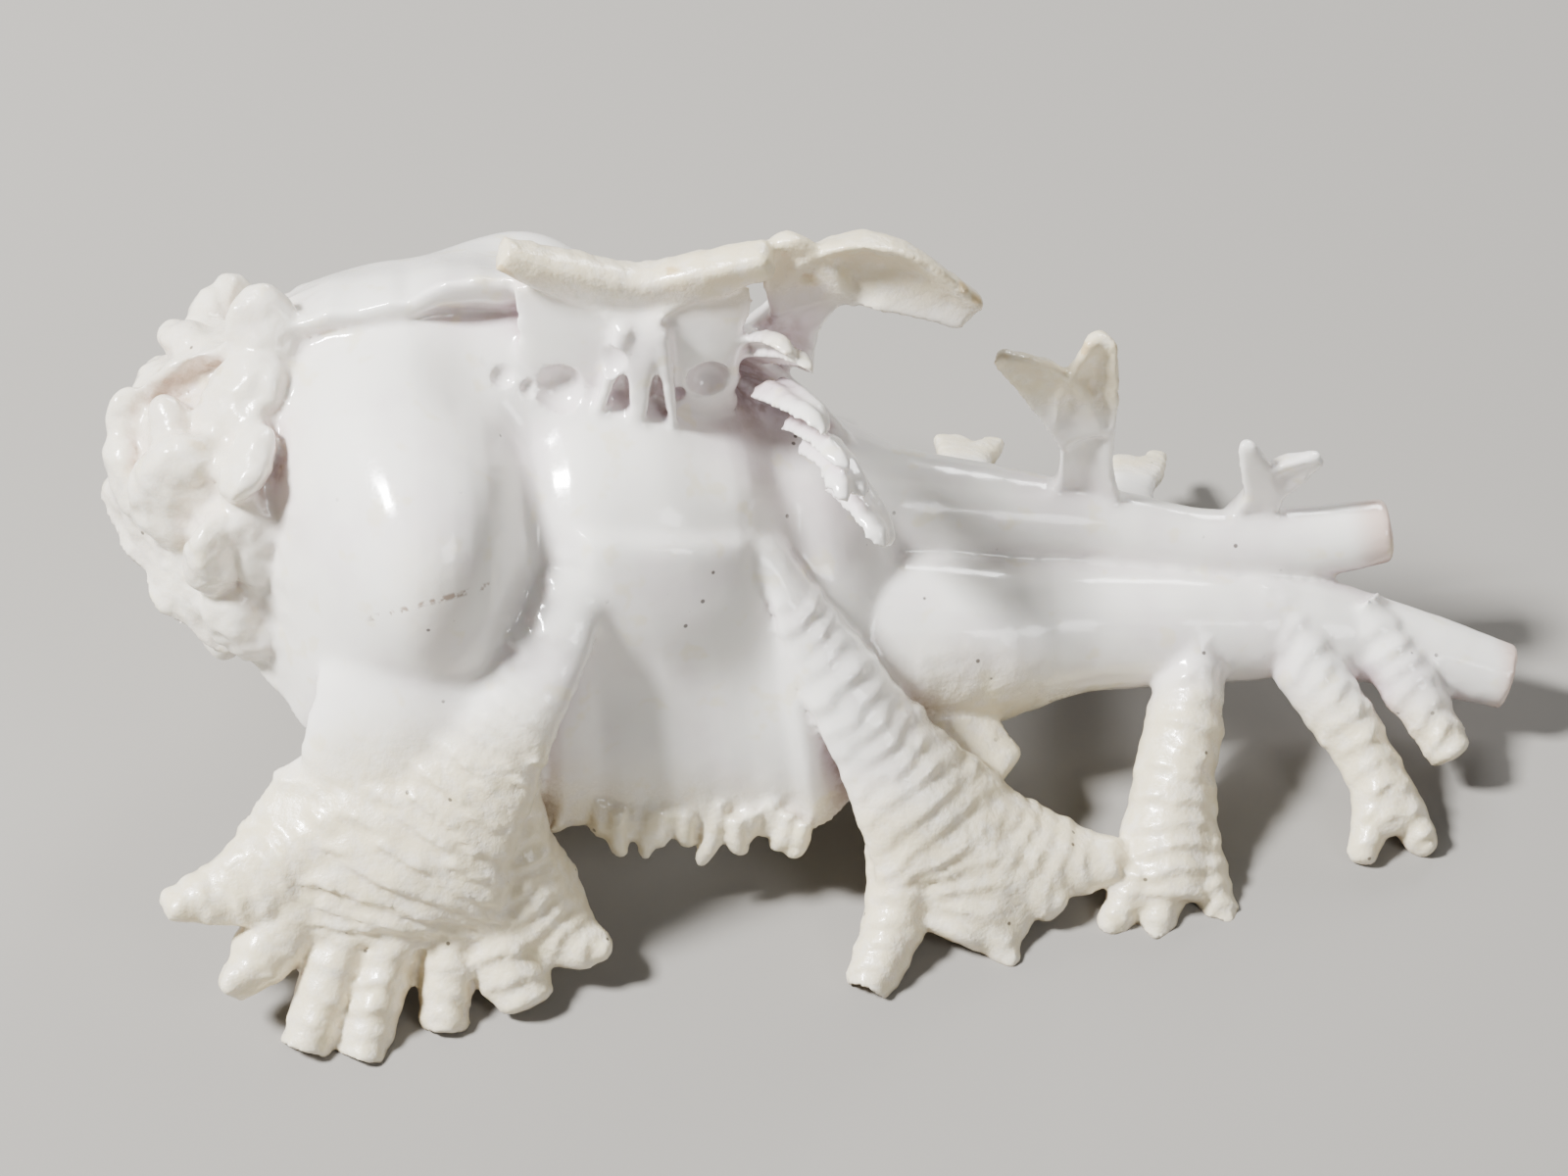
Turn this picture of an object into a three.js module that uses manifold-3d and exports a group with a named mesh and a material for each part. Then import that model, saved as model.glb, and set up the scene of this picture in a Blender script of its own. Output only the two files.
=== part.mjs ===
// Murex shell: a coiled body with three fronded varices, a siphonal canal and an aperture.
import * as THREE from 'three';
import { LoftGeometry } from 'three/addons/geometries/LoftGeometry.js';
import { mergeVertices } from 'three/addons/utils/BufferGeometryUtils.js';
import Module from 'manifold-3d';

// Lengths are in millimetres and angles in degrees.
// Places on the shell are written [z, r, roll]: z along the coiling axis towards the
// apex, r out from the axis, and roll about it (0 = front, 90 = up). Growth lowers roll.

// Resting pose
const AXIS_TILT = 8.7;
const AXIS_TURN = 2.1;
const AXIS_HEIGHT = 10.4;

// Coil
const LIP_ROLL = -30;
const VARIX_SPACING = 120;
const VARIX_COUNT = 10;
const RADIUS_PER_TURN = 0.66;
const APEX_Z = 17.8;
const SUTURE_DROP = 5.2;
const SUTURE_PER_TURN = 0.42;
const WHORL_TOP_Z = 12.6;
const FLARE_ARC = 60;
const FLARE_POWER = 1.9;

// One rounded node on the whorl between each pair of varices, newest first.
// The last entry also serves the older, smaller whorls.
const NODES = [{ z: 5.2, height: 2.5 }, { z: 0.2, height: 3 }, { z: 5, height: 2.2 }, { z: 9, height: 2.2 }];
const NODE_HALF_LENGTH = 3.8;
const NODE_HALF_ARC = 26;

// Whorl outlines [r, z]: between varices, at an old varix, at the lip and on the spire
const PLAIN_OUTLINE = [
  [4.6, 11.3], [7.2, 9.9], [8.9, 6.2], [8.4, 1.2], [8.3, -3.5], [6, -8.6],
  [3.2, -12], [0.6, -11], [0.4, -3], [0.4, 6], [2.2, 11.4],
];
const VARIX_OUTLINE = [
  [5, 12.2], [7.9, 10.9], [10.2, 6.9], [12.4, 2], [12.2, -3.6], [8.8, -8],
  [3.6, -12.2], [0.6, -11], [0.4, -3], [0.4, 6], [2.2, 11.4],
];
const LIP_OUTLINE = [
  [5.2, 12.2], [8.2, 10.9], [11, 7.4], [12.3, 1], [12.2, -4.8], [11.2, -10],
  [4.4, -13], [0.6, -11], [0.4, -3], [0.4, 6], [2.2, 11.4],
];
const SPIRE_OUTLINE = [
  [5.2, 13.1], [8.4, 11.9], [10.9, 8.4], [12.2, 2], [11, -3.6], [8, -8],
  [3.6, -12.2], [0.6, -11], [0.4, -3], [0.4, 6], [2.2, 11.4],
];

// Hollows in the newest stretch: sunken behind the last varix, and a channel above the canal
const SUNKEN = { depth: 0.8, arc: 108, halfArc: 20 };
const CHANNEL = { depth: 1.1, z: -8.2, halfLength: 1.2 };
const OUTLINE_POINTS = 30;

// Aperture: the hollow whorl is narrower than the mouth it opens into
const HOLLOW_R = 5;
const HOLLOW_Z = -0.6;
const HOLLOW_HALF_WIDTH = 2.6;
const HOLLOW_HALF_HEIGHT = 4.7;
const HOLLOW_ARC = 150;
const MOUTH_ARC = 60;
const MOUTH_WIDENING = 0.9;
const COLLAR_WIDTH = 0.9;

// Siphonal canal: [z, r, roll, radius] for the newest tube and the older one beside it
const CANAL = [
  [-8, 4.6, -42, 4], [-14.6, 4.3, -40, 3.3], [-18.2, 3.7, -40, 2.6], [-23.7, 3.3, -40, 2.2],
  [-26.7, 3.1, -40, 1.95], [-30, 3.5, -40, 1.6], [-33, 4.1, -38, 1.4], [-34.9, 4.5, -36, 1.25],
];
const OLD_CANAL = [
  [-6, 0.8, 70, 4], [-11, 0.4, 70, 2.5], [-15, 0.3, 70, 1.9], [-19, 0.2, 70, 1.4],
  [-23, 0.4, 0, 1.3], [-26.5, 0.3, 40, 1.35], [-29.8, 1, 90, 1.2],
];
const CANAL_BORE = 0.55;
const CANAL_BORE_DEPTH = 2.5;

const SLIVER = 0.03;
const CREAM_WHITE = 0xf3efe6;

const radians = THREE.MathUtils.degToRad;
const { smoothstep } = THREE.MathUtils;

function place(z, r, roll) {
  return new THREE.Vector3(-z, -r * Math.cos(radians(roll)), r * Math.sin(radians(roll)));
}

// Unit vector in which roll grows, which is the side a frond turns its back to.
function backwards(roll) {
  return new THREE.Vector3(0, Math.sin(radians(roll)), Math.cos(radians(roll)));
}

const wasm = await Module();
wasm.setup();

function solid(geometry) {
  const plain = new THREE.BufferGeometry();
  plain.setAttribute('position', geometry.attributes.position);
  plain.setIndex(geometry.index);
  const merged = mergeVertices(plain, 1e-5);
  const mesh = new wasm.Mesh({
    numProp: 3,
    vertProperties: new Float32Array(merged.attributes.position.array),
    triVerts: new Uint32Array(merged.index.array),
  });
  return new wasm.Manifold(mesh);
}

function loft(sections) {
  return solid(new LoftGeometry(sections, { capStart: true, capEnd: true }));
}

function outlineCurve(outline) {
  const points = outline.map(([r, z]) => new THREE.Vector3(r, z, 0));
  return new THREE.CatmullRomCurve3(points, true);
}

// ---- Coiled body ----

const plainCurve = outlineCurve(PLAIN_OUTLINE);
const varixCurves = [LIP_OUTLINE, VARIX_OUTLINE, VARIX_OUTLINE, SPIRE_OUTLINE].map(outlineCurve);

function hump(centre, half, value) {
  return Math.exp(-(((value - centre) / half) ** 2));
}

function whorlZ(z, turns) {
  const top = APEX_Z - SUTURE_DROP * SUTURE_PER_TURN ** turns;
  const height = Math.exp(-0.12 * turns - 0.13 * turns * turns);
  return top - (WHORL_TOP_Z - z) * height;
}

// How far the newest stretch lies below the plain outline at this place.
function hollowing(z, arc) {
  const middle = smoothstep(z, -9, -5) * (1 - smoothstep(z, 2.5, 6));
  const sunken = SUNKEN.depth * middle * hump(SUNKEN.arc, SUNKEN.halfArc, arc);
  return sunken + CHANNEL.depth * smoothstep(arc, 30, 60) * hump(CHANNEL.z, CHANNEL.halfLength, z);
}

// Each stretch of growth has a node midway and flares out to its varix at the end.
function whorlSection(index, toVarix) {
  const turns = (index * VARIX_SPACING + toVarix) / 360;
  const arc = Math.min(toVarix, VARIX_SPACING);
  const reach = RADIUS_PER_TURN ** turns;
  const flare = Math.max(0, 1 - arc / FLARE_ARC) ** FLARE_POWER;
  const varix = varixCurves[Math.min(index, 3)];
  const node = NODES[Math.min(index, 3)];
  const section = [];
  for (let i = 0; i < OUTLINE_POINTS; i += 1) {
    const plain = plainCurve.getPoint(i / OUTLINE_POINTS);
    const point = plain.clone().lerp(varix.getPoint(i / OUTLINE_POINTS), flare);
    const outer = Math.min(1, plain.x / 8);
    const atNode = hump(node.z, NODE_HALF_LENGTH, plain.y) * hump(VARIX_SPACING / 2, NODE_HALF_ARC, arc);
    const swell = node.height * atNode;
    const sunk = index === 0 ? hollowing(plain.y, arc) : 0;
    const r = Math.max(0.3, (point.x + outer * (swell - sunk)) * reach);
    section.push(place(whorlZ(point.y, turns), r, LIP_ROLL + 360 * turns));
  }
  return section.reverse();
}

function growthStretch(index) {
  const step = index < 3 ? 10 : 20;
  const sections = [];
  for (let toVarix = VARIX_SPACING + step; toVarix >= 0; toVarix -= step) {
    sections.push(whorlSection(index, toVarix));
  }
  return loft(sections);
}

function coil() {
  let body = growthStretch(0);
  for (let index = 1; index < VARIX_COUNT; index += 1) {
    body = body.add(growthStretch(index));
  }
  return body;
}

// ---- Tubes and fronds ----

// A tube through [z, r, roll, radius] stations.
function tube(stations, sides) {
  const centres = stations.map(([z, r, roll]) => place(z, r, roll));
  const curve = new THREE.CatmullRomCurve3(centres);
  const sections = stations.map(([, , , radius], i) => {
    const along = curve.getTangent(i / (stations.length - 1));
    const up = new THREE.Vector3(0, 0, 1).addScaledVector(along, -along.z).normalize();
    const across = new THREE.Vector3().crossVectors(up, along);
    return ring(centres[i], across, up, radius, radius, 0, sides);
  });
  return loft(sections);
}

// An oval section whose middle bows towards the second direction by the given amount.
function ring(centre, across, back, halfWidth, halfThickness, bow, sides) {
  const points = [];
  for (let i = 0; i < sides; i += 1) {
    const angle = (2 * Math.PI * i) / sides;
    const bulge = halfThickness * Math.sin(angle) + bow * Math.sin(angle) ** 2;
    const point = centre.clone().addScaledVector(across, halfWidth * Math.cos(angle));
    points.push(point.addScaledVector(back, bulge));
  }
  return points;
}

// A frond through [z, r, lean, halfWidth, halfThickness] stations at a varix.
// It is folded along its length, hollow on the growing side.
function frond(roll, stations, fold = 0.25, sides = 8) {
  const centres = stations.map(([z, r, lean]) => place(z, r, roll + lean));
  const curve = new THREE.CatmullRomCurve3(centres);
  const sections = stations.map(([, , lean, halfWidth, halfThickness], i) => {
    const along = curve.getTangent(i / (stations.length - 1));
    const facing = backwards(roll + lean);
    const across = new THREE.Vector3().crossVectors(facing, along).normalize();
    const back = new THREE.Vector3().crossVectors(along, across);
    return ring(centres[i], across, back, halfWidth, halfThickness, fold * halfWidth, sides);
  });
  return loft(sections);
}

function fronds(roll, list) {
  let joined = frond(roll, list[0]);
  for (const stations of list.slice(1)) {
    joined = joined.add(frond(roll, stations));
  }
  return joined;
}

// ---- Fronds of the three varices ----

const LIP_FRONDS = [
  // broad shoulder hand and its fingers
  [[0.2, 6.8, 60, 0.5, 0.4], [1.8, 8.3, 36, 1.6, 0.85], [3.6, 9.7, 21, 2.9, 1], [5.2, 11.6, 11, 3.8, 1.2],
    [6.5, 13.6, 4, 4.7, 1.3], [7, 15.2, -2, 5.4, 1.1], [7.1, 16.4, -4, 5.1, 0.7]],
  [[2.8, 10.6, 13, 1.2, 0.9], [2.4, 13.2, 4, 1.7, 0.9], [1.2, 15, -1, 1.9, 0.8], [-0.3, 16.3, -2, 1.2, 0.55],
    [-1.6, 16.7, -1, 0.5, 0.35]],
  [[3.2, 12, 6, 1.1, 0.9], [2.8, 14.8, -1, 1.5, 0.95], [2, 17, -3, 1.5, 0.75], [1.1, 18.8, -3, 1, 0.45]],
  [[3.9, 12.2, 7, 1, 0.9], [4, 15, -2, 1.1, 1], [4.1, 17.6, -4, 1, 0.85], [4, 19.9, -5, 0.85, 0.7]],
  [[4.8, 12.2, 7, 1, 0.9], [5.7, 15.2, -2, 1.15, 1.05], [6.4, 18.2, -4, 1.05, 0.9],
    [6.9, 21, -5, 0.9, 0.75]],
  [[5.8, 12, 8, 1, 0.9], [7.2, 15, -2, 1.15, 1.05], [8.2, 18, -4, 1.05, 0.9], [8.9, 20.9, -5, 0.9, 0.75]],
  [[6.4, 11.4, 10, 1.1, 0.9], [8.4, 14.2, 0, 1.4, 1], [10.2, 16.8, -3, 1.3, 0.8], [11.7, 19, -3, 0.65, 0.5]],
  [[6.8, 11.2, 11, 1.2, 0.9], [9.2, 13.6, 2, 1.7, 0.9], [11.6, 15.2, 0, 1.5, 0.7],
    [14.2, 16.2, 0, 0.5, 0.4]],
  // smooth web between the whorl and the hand
  [[5.4, 6.4, 60, 1, 0.7], [6.2, 8.2, 38, 1.9, 1], [6.6, 10, 22, 2.1, 1], [7.4, 12, 9, 2.3, 0.9],
    [8.6, 14, 2, 2.2, 0.7]],
  // second hand, low on the whorl
  [[-6.2, 5.6, 54, 0.5, 0.4], [-8.3, 7.1, 30, 1, 0.8], [-10.5, 8.9, 15, 1.7, 0.95],
    [-12.4, 10.8, 7, 2.6, 0.85],
    [-14, 12.6, 2, 3.3, 0.7], [-14.2, 14.2, 0, 3, 0.55], [-13.8, 15.4, 0, 2, 0.45]],
  [[-10.6, 9.6, 13, 1, 0.8], [-12, 12, 3, 1.4, 0.95], [-12, 14.8, 0, 1.15, 0.85],
    [-11, 17.8, 0, 0.85, 0.65]],
  [[-12, 10.6, 8, 1, 0.8], [-13.8, 13, 1, 1.3, 0.85], [-15.3, 14.8, 0, 1.1, 0.6],
    [-16.4, 16.4, 0, 0.4, 0.3]],
  [[-12.4, 9.8, 8, 1.1, 0.8], [-15, 11.6, 1, 1.7, 0.85], [-18, 12.4, 0, 1.5, 0.6],
    [-20.2, 12.4, 1, 0.7, 0.45]],
  [[-13, 10.6, 6, 1, 0.7], [-15.4, 12.8, 1, 1.2, 0.8], [-18, 14, 0, 0.8, 0.45]],
  // sheet joining the second hand to the canal
  [[-10, 4, -4, 3, 1], [-12.4, 7.2, -2, 2.4, 0.7], [-15.4, 9.8, 0, 1.6, 0.5]],
  // stalks along the canal, with forked ends
  [[-22.4, 2.6, 2, 0.9, 0.8], [-22.6, 5.8, 0, 1.3, 1.05], [-22.2, 9.4, -1, 1.55, 1],
    [-22.1, 12, -1, 1.9, 0.8],
    [-22.1, 13.6, -1, 2.1, 0.5]],
  [[-21.8, 10.4, -1, 0.9, 0.8], [-21, 12.8, -1, 0.9, 0.7], [-19.9, 14.9, -1, 0.5, 0.4]],
  [[-22.2, 10.8, -1, 0.9, 0.8], [-21.9, 13.2, -1, 0.9, 0.7], [-21.6, 15.5, -1, 0.6, 0.45]],
  [[-22.6, 10.6, -1, 0.9, 0.8], [-23.4, 12.6, -1, 0.9, 0.7], [-24.3, 14.5, -1, 0.6, 0.45]],
  [[-25.4, 2, 2, 1, 0.8], [-27, 4.6, 0, 1.3, 1], [-29, 7.4, 0, 1.1, 0.9], [-30, 9.2, 0, 1.2, 0.7],
    [-30.4, 10.6, 0, 1.2, 0.5]],
  [[-29.6, 8.4, 0, 0.8, 0.7], [-29.6, 10.2, 0, 0.7, 0.6], [-29.3, 11.8, 0, 0.5, 0.4]],
  [[-30, 8.4, 0, 0.8, 0.7], [-30.9, 9.9, 0, 0.8, 0.6], [-31.8, 11.3, 0, 0.5, 0.4]],
  [[-28.8, 2.4, 2, 1, 0.8], [-30.9, 5, 0, 1.15, 0.8], [-32.6, 7.7, 0, 0.8, 0.5]],
];

const DORSAL_FRONDS = [
  // upright stem, the thin sheet behind it, and a wide cross bar
  [[-1, 6, -20, 0.4, 0.4], [-0.9, 7.6, -12, 0.5, 0.5], [-0.7, 9.4, -5, 0.6, 0.6], [-0.4, 10.8, -2, 1.2, 0.6],
    [-0.2, 11.7, -1, 2.9, 0.6]],
  [[-0.5, 6.5, -8, 3.8, 0.6], [-0.4, 9, -4, 4, 0.45], [-0.2, 11.3, -1, 4.2, 0.4]],
  [[4.6, 11.9, -2, 0.5, 0.6], [2, 11.4, -2, 0.85, 0.85], [-0.2, 11.5, -2, 0.9, 0.85],
    [-2.4, 12.1, -2, 0.85, 0.85], [-4.6, 13.1, -2, 0.55, 0.65]],
  // channelled frond curving to the canal end
  [[-5.6, 7, 4, 1.7, 1], [-6.2, 9.6, 1, 1, 0.8], [-6.8, 11.6, 0, 1.4, 0.7], [-8.8, 12.5, -2, 1.6, 0.6],
    [-12.2, 11.2, -3, 0.8, 0.5]],
  [[-6.6, 10.6, 0, 1.6, 0.8], [-5.8, 12.2, 0, 1.3, 0.6], [-5, 13.3, 0, 0.8, 0.4]],
  // forked stalks along the canal
  [[-18.4, 0.2, 0, 1.6, 1.2], [-17.9, 3.2, 0, 1, 0.6], [-17.3, 6.4, 0, 1.15, 0.5],
    [-17.2, 9.7, 0, 0.55, 0.35]],
  [[-17.5, 4.6, 0, 0.9, 0.45], [-15.9, 7, 0, 1.1, 0.4], [-13.8, 8.6, 0, 0.4, 0.3]],
  [[-24.6, 0.2, 0, 1.2, 0.9], [-24.8, 2.2, 0, 0.7, 0.6], [-25.3, 3.4, 0, 0.75, 0.5],
    [-26.3, 4.5, 0, 0.4, 0.3]],
  [[-24.9, 2, 0, 0.7, 0.5], [-24.2, 3.6, 0, 0.6, 0.45], [-23.5, 5, 0, 0.35, 0.3]],
];

const REAR_FRONDS = [
  // long shoulder frond that props up the back of the shell
  [[6, 6.6, 8, 2, 1.3], [6.2, 10, 3, 1.7, 1.1], [6.4, 14, 1, 1.8, 0.9], [6.4, 17.4, 0, 2.4, 0.8],
    [6.4, 19.4, 0, 2.2, 0.7]],
  [[5.6, 15.5, 0, 1.2, 0.8], [4.4, 18.4, 0, 0.9, 0.7], [3.6, 21.6, 0, 0.7, 0.6]],
  [[6.4, 17, 0, 1.2, 0.8], [6.6, 19.6, 0, 0.9, 0.7], [6.8, 22.4, 0, 0.8, 0.6]],
  [[7.2, 15.5, 0, 1.2, 0.8], [8.8, 18.2, 0, 0.9, 0.7], [10, 21, 0, 0.7, 0.6]],
  // short frond low on the whorl
  [[-4.4, 5, 6, 1.6, 1.1], [-5.6, 8.4, 2, 1.3, 0.9], [-7.2, 11.6, 0, 1.5, 0.7], [-8.8, 14.4, 0, 1, 0.5]],
  // forked stalks along the canal
  [[-13.8, 0.4, 0, 1.4, 1.1], [-14.4, 4, 0, 0.9, 0.8], [-15, 7, 0, 1, 0.7], [-14.7, 9.6, 0, 0.6, 0.4]],
  [[-15, 6.2, 0, 0.7, 0.6], [-15.8, 8, 0, 0.6, 0.5], [-16.5, 9.5, 0, 0.4, 0.35]],
  [[-20.2, 0.4, 0, 1.2, 1], [-21, 4, 0, 0.8, 0.7], [-21.4, 6.2, 0, 0.9, 0.6], [-21.5, 8.5, 0, 0.5, 0.4]],
  [[-21.4, 5.6, 0, 0.7, 0.5], [-22.3, 7.6, 0, 0.6, 0.45], [-23, 9.5, 0, 0.4, 0.35]],
];

// ---- Aperture ----

// The section of the hollow an arc back from the lip, enlarged by a margin.
function hollowSection(arc, margin) {
  const turns = arc / 360;
  const reach = RADIUS_PER_TURN ** turns;
  const taper = Math.max(0.12, 1 - Math.max(0, arc / HOLLOW_ARC) ** 3);
  const mouth = THREE.MathUtils.clamp(1 - arc / MOUTH_ARC, 0, 1.2);
  const roll = LIP_ROLL + arc;
  const centre = place(whorlZ(HOLLOW_Z, turns), (HOLLOW_R + MOUTH_WIDENING * mouth) * reach, roll);
  const outwards = place(0, 1, roll);
  const alongAxis = place(1, 0, roll);
  const halfWidth = (HOLLOW_HALF_WIDTH + MOUTH_WIDENING * mouth + margin) * reach * taper;
  const halfHeight = (HOLLOW_HALF_HEIGHT + MOUTH_WIDENING * mouth + margin) * reach * taper;
  return ring(centre, alongAxis, outwards, halfHeight, halfWidth, 0, 14).reverse();
}

function apertureHollow() {
  const sections = [];
  for (let arc = HOLLOW_ARC; arc >= -15; arc -= 15) {
    sections.push(hollowSection(arc, 0));
  }
  return loft(sections);
}

function apertureCollar() {
  const base = hollowSection(8, COLLAR_WIDTH);
  const rim = hollowSection(-4, COLLAR_WIDTH);
  return loft([base, rim, hollowSection(-8, COLLAR_WIDTH / 2)]);
}

function canalBore(stations) {
  const [tip] = stations.slice(-1);
  const [z, r, roll] = tip;
  const inner = [z + CANAL_BORE_DEPTH, r, roll, CANAL_BORE];
  const middle = [z, r, roll, CANAL_BORE];
  const outer = [z - 1, r, roll, CANAL_BORE];
  return tube([inner, middle, outer], 8);
}

// ---- Assembly ----

const [lipRoll, dorsalRoll, rearRoll] = [0, 1, 2].map((index) => LIP_ROLL + index * VARIX_SPACING);

const grown = coil()
  .add(tube(CANAL, 16))
  .add(tube(OLD_CANAL, 14))
  .add(fronds(lipRoll, LIP_FRONDS))
  .add(fronds(dorsalRoll, DORSAL_FRONDS))
  .add(fronds(rearRoll, REAR_FRONDS))
  .add(apertureCollar())
  .subtract(apertureHollow())
  .subtract(canalBore(CANAL))
  .subtract(canalBore(OLD_CANAL));

// Leans the axis, turns it in plan and lifts it; the ground then trims the feet flat.
const pose = new THREE.Matrix4()
  .makeTranslation(0, 0, AXIS_HEIGHT)
  .multiply(new THREE.Matrix4().makeRotationZ(radians(AXIS_TURN)))
  .multiply(new THREE.Matrix4().makeRotationY(radians(AXIS_TILT)));
const ground = new THREE.BoxGeometry(200, 200, 50).translate(0, 0, -25).applyMatrix4(pose.clone().invert());
const shell = grown.subtract(solid(ground)).simplify(SLIVER);

function toGeometry(body) {
  const { numProp, vertProperties, triVerts } = body.getMesh();
  const geometry = new THREE.BufferGeometry();
  geometry.setAttribute('position', new THREE.BufferAttribute(vertProperties, numProp));
  geometry.setIndex(new THREE.BufferAttribute(triVerts, 1));
  return geometry;
}

const geometry = toGeometry(shell).applyMatrix4(pose);
geometry.computeBoundingBox();
const middle = geometry.boundingBox.getCenter(new THREE.Vector3());
geometry.translate(-middle.x, -middle.y, -geometry.boundingBox.min.z);
geometry.computeVertexNormals();

const material = new THREE.MeshStandardMaterial({ name: 'shell', color: CREAM_WHITE, roughness: 0.35 });
const mesh = new THREE.Mesh(geometry, material);
mesh.name = 'murex_shell';

const group = new THREE.Group();
group.name = 'murex_shell_part';
group.add(mesh);

export default group;
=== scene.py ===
# %% [markdown]
# # Murex shell
# A small white murex: a coiled shell with three fronded ridges, called varices, and a long canal.
# The whole shell is one piece of porcelain-like lime, so it is modelled as one skin.
# Places on the shell are written (z, r, roll): z along the coiling axis towards the apex, r out
# from the axis, and roll about it, with 0 at the front and 90 on top. Lengths are millimetres
# until the last modelling step, angles are degrees, and growth lowers roll.

import math
import random

import bmesh
import bpy
from mathutils import Matrix, Vector, noise


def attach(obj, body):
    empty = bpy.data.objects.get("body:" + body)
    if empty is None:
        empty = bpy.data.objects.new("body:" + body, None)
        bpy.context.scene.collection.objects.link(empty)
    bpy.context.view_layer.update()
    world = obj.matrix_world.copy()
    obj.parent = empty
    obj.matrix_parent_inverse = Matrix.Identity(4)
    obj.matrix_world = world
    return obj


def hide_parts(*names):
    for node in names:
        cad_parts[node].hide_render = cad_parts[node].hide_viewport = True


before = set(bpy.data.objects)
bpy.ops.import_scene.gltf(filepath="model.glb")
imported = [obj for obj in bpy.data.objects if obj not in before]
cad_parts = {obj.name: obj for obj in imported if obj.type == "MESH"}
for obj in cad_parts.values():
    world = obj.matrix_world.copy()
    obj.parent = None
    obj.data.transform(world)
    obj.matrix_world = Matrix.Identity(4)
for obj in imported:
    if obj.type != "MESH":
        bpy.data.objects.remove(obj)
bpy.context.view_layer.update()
bpy.ops.object.select_all(action="DESELECT")

# %% [markdown]
# ## Resting pose
# The shell lies on the tips of its fronds, with the spire a little up and turned to the viewer.
# It could be built upright and turned at the end, but a shell is cut flat where it stands, so
# every place is worked out in the resting pose from the start.

# %% Places on the shell
AXIS_TILT = 8.7
AXIS_TURN = 2.1
AXIS_ORIGIN = Vector((-8.573, -0.575, 10.4))
TURNED = Matrix.Rotation(math.radians(AXIS_TURN), 3, "Z")
TILTED = Matrix.Rotation(math.radians(AXIS_TILT), 3, "Y")
POSE = TURNED @ TILTED


def place(z, r, roll):
    angle = math.radians(roll)
    return POSE @ Vector((-z, -r * math.cos(angle), r * math.sin(angle))) + AXIS_ORIGIN


def backwards(roll):
    """Unit vector in which roll grows: the side that a frond turns its back to."""
    angle = math.radians(roll)
    return POSE @ Vector((0, math.sin(angle), math.cos(angle)))


print("axis origin", AXIS_ORIGIN)

# %% [markdown]
# ## One way to make every form
# Each form starts as a ring. The ring is extruded again and again, and every new ring is set
# onto its own outline, as the animal lays down one growth line after another. Extruding alone
# can't follow these outlines, so the new ring's points are put in place one by one.

# %% A skin through rings
forms = []


def skin(name, rings):
    """A closed mesh through rings that all have the same number of points."""
    bpy.ops.object.select_all(action="DESELECT")
    bpy.ops.mesh.primitive_circle_add(vertices=len(rings[0]), fill_type="NGON")
    obj = bpy.context.object
    obj.name = name
    bpy.ops.object.mode_set(mode="EDIT")
    bpy.ops.mesh.select_all(action="SELECT")
    for step, ring in enumerate(rings):
        if step:
            bpy.ops.mesh.extrude_region_move()
        mesh = bmesh.from_edit_mesh(obj.data)
        fresh = sorted((vert for vert in mesh.verts if vert.select), key=lambda vert: vert.index)
        for vert, point in zip(fresh, ring):
            vert.co = point
    bpy.ops.mesh.select_all(action="SELECT")
    bpy.ops.mesh.normals_make_consistent(inside=False)
    bpy.ops.object.mode_set(mode="OBJECT")
    forms.append(obj)
    return obj


print("skin tool ready")

# %% [markdown]
# ## Smooth curves
# Growth leaves no corners. Outlines and paths are given by a few points, and a Catmull-Rom curve
# runs through all of them. Bezier handles would do the same, but they double what has to be set.

# %% Curves and soft steps
def catmull(a, b, c, d, t):
    bend = 2 * a - 5 * b + 4 * c - d
    twist = 3 * b - a - 3 * c + d
    return 0.5 * (2 * b + (c - a) * t + bend * t * t + twist * t ** 3)


def closed_curve(points, count):
    """Evenly timed points on a smooth closed curve through the given ones."""
    result = []
    for i in range(count):
        time = i / count * len(points)
        k = int(time)
        t = time - k
        a, b, c, d = (points[(k + j) % len(points)] for j in (-1, 0, 1, 2))
        result.append(tuple(catmull(a[n], b[n], c[n], d[n], t) for n in range(len(b))))
    return result


def open_curve(stations, count):
    """The stations, whatever numbers they hold, smoothed into count steps from first to last."""
    last = len(stations) - 1
    result = []
    for i in range(count):
        time = i / (count - 1) * last
        k = min(int(time), last - 1)
        t = time - k
        a, b, c, d = (stations[min(max(k + j, 0), last)] for j in (-1, 0, 1, 2))
        result.append([catmull(a[n], b[n], c[n], d[n], t) for n in range(len(b))])
    return result


def step_up(low, high, value):
    t = min(max((value - low) / (high - low), 0), 1)
    return t * t * (3 - 2 * t)


def hump(centre, half, value):
    return math.exp(-(((value - centre) / half) ** 2))


print("curve tools ready")

# %% [markdown]
# ## Coiled body
# The whorls grow by one ratio per turn. Growth pauses every 120 degrees: the edge flares into a
# varix, curls over, and the next stretch starts again from underneath. Midway between two varices
# the shoulder swells into a rounded node. One outline could be swept along a spiral, but the
# edge changes on its way to each varix, so every stretch blends a plain outline into a flared one.

# %% Outlines of a whorl
LIP_ROLL = -30
SPACING = 120
RADIUS_PER_TURN = 0.66
APEX_Z = 17.8
SUTURE_DROP = 5.2
WHORL_TOP_Z = 12.6
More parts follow.
